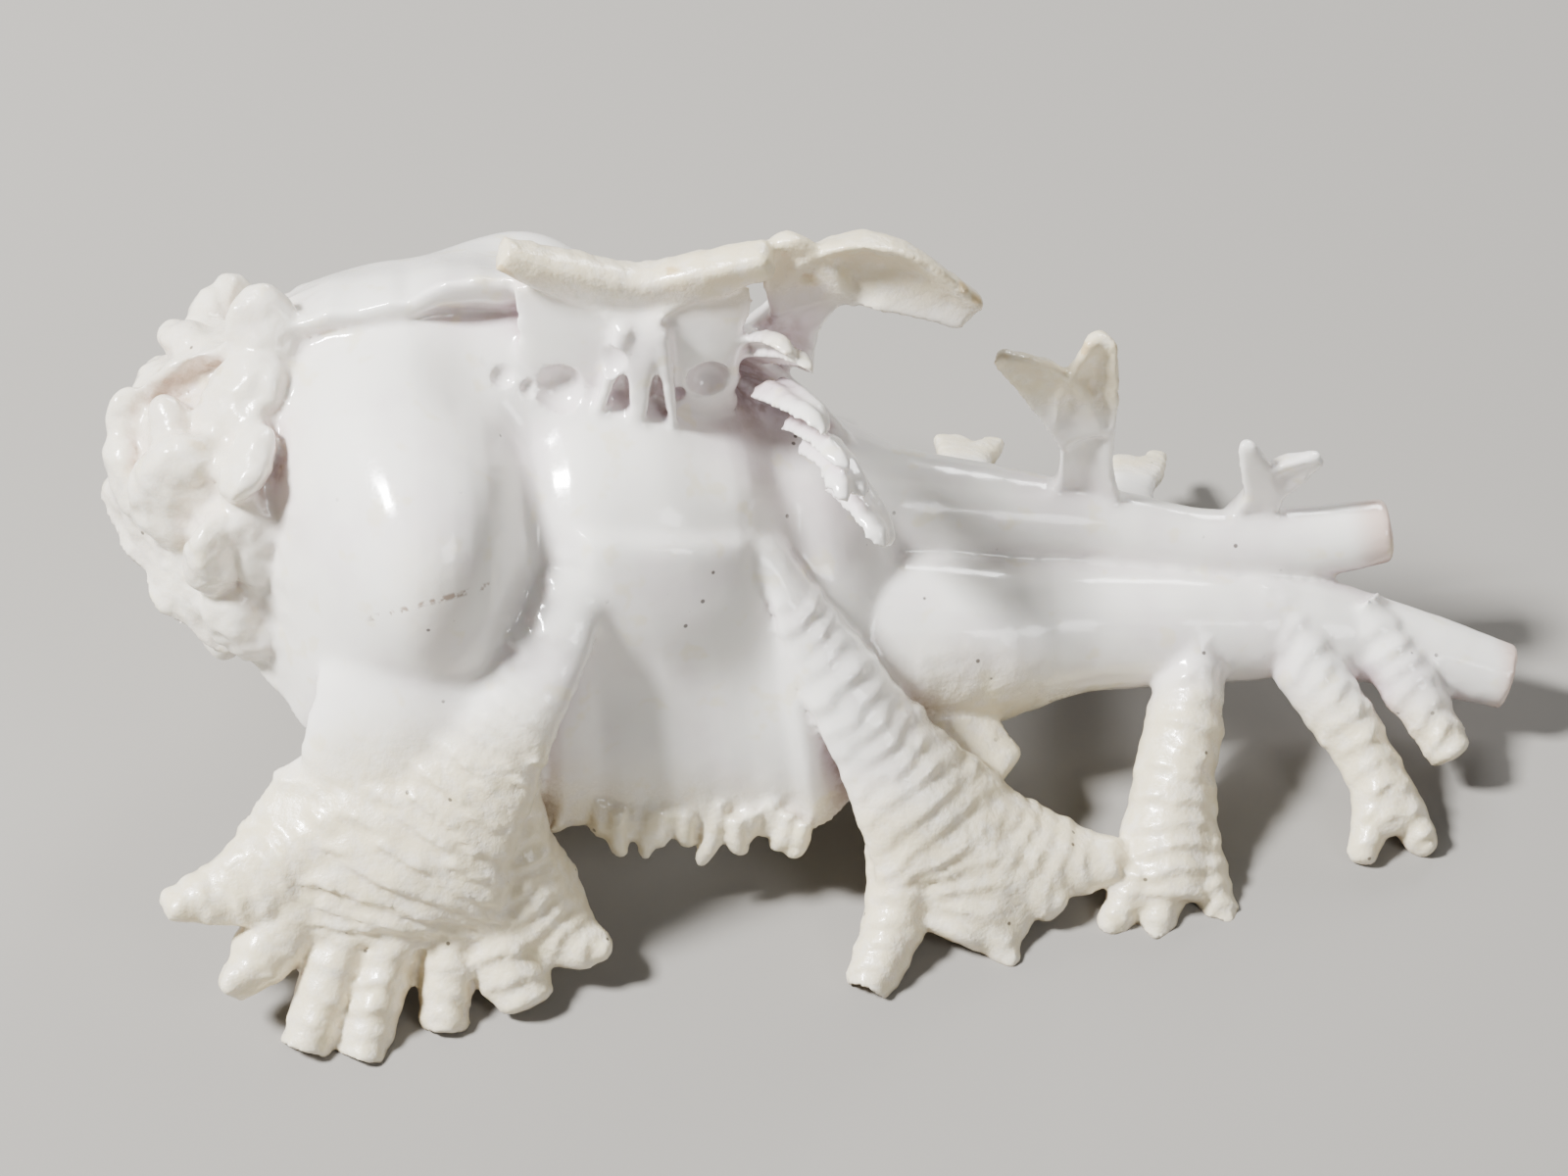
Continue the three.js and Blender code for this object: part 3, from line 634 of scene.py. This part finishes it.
# (z, roll, radius)
PITS = [(3.9, 78, 0.5), (2.9, 76, 0.4), (1.9, 75, 0.95), (0.4, 77, 0.7), (-2.2, 77, 0.4), (-3.3, 79, 0.85)]
cutters = [hollow]
for z, roll, radius in PITS:
    outside = place(z, 9.6, roll)
    inwards = (place(z, 0, roll) - outside).normalized()
    spot = shell.ray_cast(outside, inwards)[1]
    bpy.ops.mesh.primitive_uv_sphere_add(
        segments=20, ring_count=12, radius=radius, location=spot - inwards * 0.5 * radius)
    cutters.append(bpy.context.object)
for cutter in cutters:
    use(shell, "BOOLEAN", operation="DIFFERENCE", object=cutter, solver="MANIFOLD")
    bpy.data.objects.remove(cutter)
use(shell, "SMOOTH", factor=0.5, iterations=1)
print("skin after cutting", len(shell.data.polygons))

# %% [markdown]
# ## Where the skin is rough
# The whorls are smooth as porcelain, the fronds and the spire are not. Vertex groups hold how
# much each place takes: fringe for lumps, smooth_body and soft for smoothing, spire for knobs.
# Painting them by hand would give the same, but working them out from the place is repeatable.

# %% Vertex groups
fringe = shell.vertex_groups.new(name="fringe")
centre_axis = POSE @ Vector((-1, 0, 0))
for vert in shell.data.vertices:
    # far out or far along, on the canal as well, the skin belongs to fronds or to the spire
    offset = vert.co - AXIS_ORIGIN
    along = offset.dot(centre_axis)
    out = (offset - centre_axis * along).length
    edge = step_up(9.5, 13, out) + step_up(10, 14, along)
    if along < -12:
        edge = step_up(4.5, 7, out)
    fringe.add([vert.index], min(1, 0.12 + edge), "REPLACE")
smooth_body = shell.vertex_groups.new(name="smooth_body")
spire = shell.vertex_groups.new(name="spire")
# (z, r, roll, reach) where a ridge grows smoothly out of the whorl: the web of the lip, then
# where the shoulder ridge and the low ridge start
SOFT_SPOTS = [(6.8, 9.8, 9, 4.2), (0.2, 8.2, 17, 2), (-6.8, 6.8, 32, 2)]
soft = shell.vertex_groups.new(name="soft")
soft_spots = [(place(z, r, roll), reach) for z, r, roll, reach in SOFT_SPOTS]
for vert in shell.data.vertices:
    rounded = step_up(10, 12, (vert.co - AXIS_ORIGIN).dot(centre_axis))
    smooth_body.add([vert.index], max(rounded, 1 - fringe.weight(vert.index)), "REPLACE")
    spire.add([vert.index], rounded, "REPLACE")
    near = max(1 - step_up(0.5, 1, (vert.co - spot).length / reach) for spot, reach in soft_spots)
    if near:
        soft.add([vert.index], near, "REPLACE")
print("vertex groups", [group.name for group in shell.vertex_groups])

# %% [markdown]
# ## Relief of the skin
# Smoothing first takes the remesh steps off the whorls, then cloud patterns push lumps into the
# fronds and knobs into the spire. These lumps are too fine to place one by one. Decimating then
# brings the number of triangles down, mostly where the skin is flat.

# %% Smoothing and lumps
fine = bpy.data.textures.new("fine_lumps", "CLOUDS")
fine.noise_scale = 0.9
coarse = bpy.data.textures.new("coarse_lumps", "CLOUDS")
coarse.noise_scale = 2.6
knobs = bpy.data.textures.new("knobs", "CLOUDS")
knobs.noise_scale = 1.7
MOST_TRIANGLES = 190000
use(shell, "SMOOTH", factor=0.5, iterations=6, vertex_group="smooth_body")
use(shell, "SMOOTH", factor=0.5, iterations=45, vertex_group="soft")
use(shell, "DISPLACE", texture=coarse, strength=0.22, mid_level=0.5, vertex_group="fringe")
use(shell, "DISPLACE", texture=knobs, strength=0.7, mid_level=0.55, vertex_group="spire")
use(shell, "DISPLACE", texture=fine, strength=0.1, mid_level=0.5, vertex_group="fringe")
faces = sum(len(polygon.vertices) - 2 for polygon in shell.data.polygons)
use(shell, "DECIMATE", ratio=min(1, MOST_TRIANGLES / faces))
print("skin triangles", faces, "then", len(shell.data.polygons))

# %% [markdown]
# ## Worn feet
# The frond tips that carry the shell are worn. A bisect at the ground cuts them all at one level,
# which a boolean with a box would do more slowly. Then millimetres become metres, and faces that
# the cut made too thin are dissolved.

# %% Cut flat and scale
MILLIMETRE = 0.001
bpy.ops.object.mode_set(mode="EDIT")
bpy.ops.mesh.select_all(action="SELECT")
bpy.ops.mesh.bisect(plane_co=(0, 0, 0), plane_no=(0, 0, 1), clear_inner=True, use_fill=True)
bpy.ops.mesh.select_all(action="SELECT")
bpy.ops.transform.resize(value=(MILLIMETRE, MILLIMETRE, MILLIMETRE), center_override=(0, 0, 0))
bpy.ops.mesh.dissolve_degenerate(threshold=0.000001)
bpy.ops.mesh.select_all(action="SELECT")
bpy.ops.mesh.quads_convert_to_tris()
bpy.ops.object.mode_set(mode="OBJECT")
shell.data.validate()
bpy.ops.object.shade_smooth()
shell.location = (0, 0, 0)
print("shell size", [round(side / MILLIMETRE, 1) for side in shell.dimensions])

# %% [markdown]
# ## Shell finish
# Bare aragonite, laid down in a smooth glaze: bright white porcelain with a wet-looking shine.
# The eye sees a faint lilac where the shell is thin, lilac painted shade where it turns inwards into
# creases, ivory and a duller surface on the scaly fronds with cream painted highlights on the crests of
# their scales, yellow rims on the top fronds, rust-brown painted shade in pits and deep creases that
# stands for their dust as well, and a few tiny dark specks. Growth lines and pores are fine enough to be
# bumps.
# All of it is worked out by nodes from the place and the form, so nothing has to be unwrapped.

# %% Node helpers
def linear(code):
    """An sRGB hex colour as the linear numbers that Blender works with."""
    parts = [int(code[i:i + 2], 16) / 255 for i in (1, 3, 5)]
    return [c / 12.92 if c <= 0.04045 else ((c + 0.055) / 1.055) ** 2.4 for c in parts] + [1]


def new_material(name):
    material = bpy.data.materials.new(name)
    material.use_nodes = True
    return material, material.node_tree.nodes["Principled BSDF"]


material, shader = new_material("shell")
tree = material.node_tree


def add(kind, inputs, output=None, **settings):
    """One node with its settings and links. Inputs go by name, or in order into the active ones."""
    node = tree.nodes.new("ShaderNode" + kind)
    for key, value in settings.items():
        setattr(node, key, value)
    named = hasattr(inputs, "items")
    sockets = node.inputs if named else [socket for socket in node.inputs if socket.enabled]
    for key, value in inputs.items() if named else enumerate(inputs):
        if hasattr(value, "is_linked"):
            tree.links.new(value, sockets[key])
        else:
            sockets[key].default_value = value
    if output:
        return node.outputs[output]
    return next(socket for socket in node.outputs if socket.enabled)


print("shell material", material.name)

# %% [markdown]
# ## What the finish can see
# Colours follow the place along the axis and out from it, how sharp or sheltered a spot is, and
# three clouds of different size. Each is made once here and mixed many times below. A map range
# with a smooth step turns any of them into a soft edge between two values.

# %% Places and clouds
where = add("TexCoord", (), "Object")
millimetres = add("VectorMath", (where, (1000, 1000, 1000)), operation="MULTIPLY")
offset = add("VectorMath", (millimetres, AXIS_ORIGIN), operation="SUBTRACT")
axis = tuple(centre_axis)
along = add("VectorMath", (offset, axis), "Value", operation="DOT_PRODUCT")
crossed = add("VectorMath", (offset, axis), operation="CROSS_PRODUCT")
out = add("VectorMath", (crossed,), "Value", operation="LENGTH")
height = add("SeparateXYZ", (offset,), "Z")
pointed = add("NewGeometry", (), "Pointiness")
hidden = add("AmbientOcclusion", {"Distance": 0.0035}, "AO", samples=4)
# Clouds take a place, a scale, a detail and a roughness. The scale is one over the size of a
# patch: 3.6 mm for the soft cloud, 0.6 mm for the grain and 0.15 mm for the fine grain.
soft_cloud = add("TexNoise", (millimetres, 0.28, 3.0, 0.55))
grain = add("TexNoise", (millimetres, 1.6, 4, 0.55))
fine_grain = add("TexNoise", (millimetres, 7.0, 3, 0.55))
print("nodes for places and clouds", len(tree.nodes))

# %% [markdown]
# ## Where the fronds are
# The fronds are ivory and duller than the whorls. They could be a second material, but they grow
# out of the whorl without an edge, so one value runs softly from 0 on the whorl to 1 on a frond.

# %% Fronded part
MULTIPLY = {"operation": "MULTIPLY"}
MAXIMUM = {"operation": "MAXIMUM"}
SMOOTH = {"interpolation_type": "SMOOTHSTEP"}
on_body = add("MapRange", (out, 9.8, 12.5), **SMOOTH)
past_whorl = add("MapRange", (along, -9, -15), **SMOOTH)
off_canal = add("MapRange", (out, 5, 7.5), **SMOOTH)
on_canal = add("Math", (past_whorl, off_canal), **MULTIPLY)
past_shoulder = add("MapRange", (along, 9, 14), **SMOOTH)
on_spire = add("Math", (past_shoulder, 0.5), **MULTIPLY)
body_or_canal = add("Math", (on_body, on_canal), **MAXIMUM)
fronded = add("Math", (body_or_canal, on_spire), **MAXIMUM)
patches = add("MapRange", (grain, 0.25, 0.6, 0.55, 1.0), **SMOOTH)
fronded = add("Math", (fronded, patches), **MULTIPLY)
crevice = add("MapRange", (hidden, 0.82, 0.35), **SMOOTH)
crest = add("MapRange", (pointed, 0.52, 0.6), **SMOOTH)
print("nodes with the fronded part", len(tree.nodes))

# %% [markdown]
# ## Colours of the glaze
# White first, lilac clouds over it and lilac painted shade in the creases, ivory on the fronds with cream
# painted highlights on the crests and ochre rims, and tan on the worn ends of both canals. Each layer is
# one mix over the last.

# %% Glaze colours
WHITE, IVORY, LILAC = linear("#f8f5ee"), linear("#ebdfbf"), linear("#cbb3c3")
OCHRE, CREAM, TAN, STRAW = linear("#c7a86a"), linear("#f6f1e2"), linear("#c99f8b"), linear("#eadfb4")
COLOURS = {"data_type": "RGBA"}
clouded = add("MapRange", (soft_cloud, 0.42, 0.7, 0.0, 0.22), **SMOOTH)
colour = add("Mix", (clouded, WHITE, LILAC), **COLOURS)
# Painted shade: lilac laid into the creases wherever the ambient occlusion is low.
painted_crease_shade = add("Math", (crevice, 0.65), **MULTIPLY)
colour = add("Mix", (painted_crease_shade, colour, LILAC), **COLOURS)
colour = add("Mix", (fronded, colour, IVORY), **COLOURS)
# Painted highlight: the sharp crests of the fronds' scales are lightened to cream.
crest_highlight_share = add("MapRange", (grain, 0.35, 0.65, 0.1, 0.55), **SMOOTH)
painted_crest_highlight = add("Math", (crest, crest_highlight_share), **MULTIPLY)
painted_crest_highlight = add("Math", (painted_crest_highlight, fronded), **MULTIPLY)
colour = add("Mix", (painted_crest_highlight, colour, CREAM), **COLOURS)
sharp = add("MapRange", (pointed, 0.53, 0.62, 0.08, 0.75), **SMOOTH)
rim = add("Math", (sharp, fronded), **MULTIPLY)
upper = add("MapRange", (height, 2.5, 6), **SMOOTH)
rim = add("Math", (rim, upper), **MULTIPLY)
colour = add("Mix", (rim, colour, OCHRE), **COLOURS)
print("nodes with the glaze", len(tree.nodes))

# %% [markdown]
# ## Worn ends and straw stains
# The ends of both canals are worn down to tan. The newest lies far along the axis, and the old one
# is found by its distance from a point. Here and there the glaze has a pale straw stain.

# %% Worn ends and stains
OLD_TIP = place(-30, 1.1, 90) - AXIS_ORIGIN
to_old_tip = add("VectorMath", (offset, OLD_TIP), "Value", operation="DISTANCE")
new_end = add("MapRange", (along, -33.9, -34.9), **SMOOTH)
old_end = add("MapRange", (to_old_tip, 2.3, 1.2), **SMOOTH)
tips = add("Math", (new_end, old_end), **MAXIMUM)
tips = add("Math", (tips, 0.6), **MULTIPLY)
colour = add("Mix", (tips, colour, TAN), **COLOURS)
stains = add("TexNoise", (millimetres, 0.75, 2, 0.55))
stained = add("MapRange", (stains, 0.6, 0.7), **SMOOTH)
stained = add("Math", (stained, 0.35), **MULTIPLY)
colour = add("Mix", (stained, colour, STRAW), **COLOURS)
print("nodes with ends and stains", len(tree.nodes))

# %% [markdown]
# ## Dust and painted shade
# Rust-brown painted shade darkens the pits and deep creases wherever the ambient occlusion is low, and it
# stands for their dust as well.
# Real dust lies in a dotted line along one growth thread on the shoulder. The thread is a sloping line,
# faded out at both ends and away from the front.

# %% Dust and painted shade
RUST = linear("#7d5636")
SUBTRACT = {"operation": "SUBTRACT"}
ABSOLUTE = {"operation": "ABSOLUTE"}
ASIDE = tuple(place(0, 1, -40) - AXIS_ORIGIN)
FACING = tuple(place(0, 1, 40) - AXIS_ORIGIN)
# Painted shade, also standing for dust: rust-brown laid into pits and deep creases where the ambient
# occlusion is low.
sheltered = add("MapRange", (hidden, 0.5, 0.15), **SMOOTH)
dust_and_shade_patches = add("MapRange", (grain, 0.4, 0.6), **SMOOTH)
dust_and_shade = add("Math", (sheltered, dust_and_shade_patches), **MULTIPLY)
dust_and_shade = add("Math", (dust_and_shade, 0.7), **MULTIPLY)
colour = add("Mix", (dust_and_shade, colour, RUST), **COLOURS)
aside = add("VectorMath", (offset, ASIDE), "Value", operation="DOT_PRODUCT")
facing = add("VectorMath", (offset, FACING), "Value", operation="DOT_PRODUCT")
slope = add("Math", (along, 0.36), **MULTIPLY)
from_thread = add("Math", (aside, slope), **SUBTRACT)
from_thread = add("Math", (from_thread, 2.3), **SUBTRACT)
from_thread = add("Math", (from_thread,), **ABSOLUTE)
thread = add("MapRange", (from_thread, 0.16, 0.05), **SMOOTH)
from_middle = add("Math", (along, 6.0), **SUBTRACT)
from_middle = add("Math", (from_middle,), **ABSOLUTE)
thread_length = add("MapRange", (from_middle, 2.2, 1.8), **SMOOTH)
thread = add("Math", (thread, thread_length), **MULTIPLY)
thread_side = add("MapRange", (facing, 3.0, 4.0), **SMOOTH)
thread = add("Math", (thread, thread_side), **MULTIPLY)
dots = add("TexNoise", (millimetres, 2.4, 3.0, 0.55))
dotted = add("MapRange", (dots, 0.46, 0.58), **SMOOTH)
thread = add("Math", (thread, dotted), **MULTIPLY)
thread = add("Math", (thread, 0.7), **MULTIPLY)
colour = add("Mix", (thread, colour, RUST), **COLOURS)
print("nodes with dust", len(tree.nodes))

# %% [markdown]
# ## Specks
# Tiny dark specks lie in loose groups. The middles of Voronoi cells, about a millimetre apart, are
# the specks, and the soft cloud lets only some of them through.

# %% Specks
SPECK = linear("#3a2d22")
crumbs = add("TexVoronoi", {"Vector": millimetres, "Scale": 0.85, "Randomness": 1.0}, "Distance")
speck = add("MapRange", (crumbs, 0.085, 0.05), **SMOOTH)
groups = add("MapRange", (soft_cloud, 0.5, 0.56), **SMOOTH)
speck = add("Math", (speck, groups), **MULTIPLY)
speck = add("Math", (speck, 0.8), **MULTIPLY)
colour = add("Mix", (speck, colour, SPECK), **COLOURS)
tree.links.new(colour, shader.inputs["Base Color"])
print("nodes with specks", len(tree.nodes))

# %% [markdown]
# ## Shine and pores
# The glaze is glossy on the whorls and duller on the fronds. A thin coat gives the wet shine, and
# a little light passes through the skin, as in porcelain. The pores are a bump and not relief,
# because they are far finer than the mesh.

# %% Shine and pores
frond_dull = add("MapRange", (fronded, 0, 1, 0.12, 0.3), **SMOOTH)
grain_dull = add("MapRange", (fine_grain, 0.3, 0.7, 0.0, 0.1), **SMOOTH)
dull = add("Math", (frond_dull, grain_dull), operation="ADD")
tree.links.new(dull, shader.inputs["Roughness"])
shader.inputs["IOR"].default_value = 1.55
shader.inputs["Coat Weight"].default_value = 0.35
shader.inputs["Coat Roughness"].default_value = 0.08
shader.inputs["Subsurface Weight"].default_value = 0.12
shader.inputs["Subsurface Radius"].default_value = (1.0, 0.8, 0.6)
shader.inputs["Subsurface Scale"].default_value = 0.0012
pores = add("TexNoise", (millimetres, 3.2, 4, 0.6))
pore_depth = add("MapRange", (fronded, 0, 1, 0.05, 0.6), **SMOOTH)
pores = add("Math", (pores, pore_depth), **MULTIPLY)
bump = add("Bump", {"Strength": 0.4, "Distance": 0.0002, "Height": pores})
tree.links.new(bump, shader.inputs["Normal"])
shell.data.materials.clear()
shell.data.materials.append(material)
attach(shell, "root")
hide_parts("murex_shell")
print("shell finish nodes", len(tree.nodes))

# %% [markdown]
# ## Studio
# A plain floor, a soft key from the upper left, a weak fill and a rim light behind. An environment
# map would light it too, but three lamps are easier to steer on a glossy white shell.

# %% Floor and lights
floor_material, floor_shader = new_material("studio_floor")
floor_shader.inputs["Base Color"].default_value = linear("#8f8c87")
floor_shader.inputs["Roughness"].default_value = 0.85
bpy.ops.mesh.primitive_plane_add(size=3)
floor = bpy.context.object
floor.name = "studio_floor"
floor.data.materials.append(floor_material)


def soft_light(name, spot, size, energy):
    bpy.ops.object.light_add(type="AREA", location=spot)
    light = bpy.context.object
    light.name = name
    light.data.size = size
    light.data.energy = energy
    light.rotation_euler = (-Vector(spot)).to_track_quat("-Z", "Y").to_euler()


soft_light("key", (-0.22, -0.03, 0.27), 0.06, 4.2)
soft_light("fill", (0.26, -0.2, 0.24), 0.12, 0.4)
soft_light("rim", (0.1, 0.3, 0.2), 0.12, 0.9)
world = bpy.data.worlds.new("studio")
world.use_nodes = True
world.node_tree.nodes["Background"].inputs["Color"].default_value = linear("#dadbdd")
world.node_tree.nodes["Background"].inputs["Strength"].default_value = 0.13
bpy.context.scene.world = world
print("lights and floor ready")

# %% [markdown]
# ## Camera
# A long lens from half above the table, so that near and far fronds keep their true sizes.

# %% Camera
CAMERA_DISTANCE = 0.17
LOOK_AT = Vector((-0.001433, -0.003315, 0.0081))
ELEVATION = math.radians(50)
spot = LOOK_AT + CAMERA_DISTANCE * Vector((0, -math.cos(ELEVATION), math.sin(ELEVATION)))
bpy.ops.object.camera_add(location=spot)
camera = bpy.context.object
camera.data.lens = 107.1
camera.data.sensor_width = 36
camera.data.clip_start = 0.01
camera.rotation_euler = (LOOK_AT - spot).to_track_quat("-Z", "Y").to_euler()
bpy.context.scene.camera = camera
print("camera at", [round(value, 3) for value in spot])
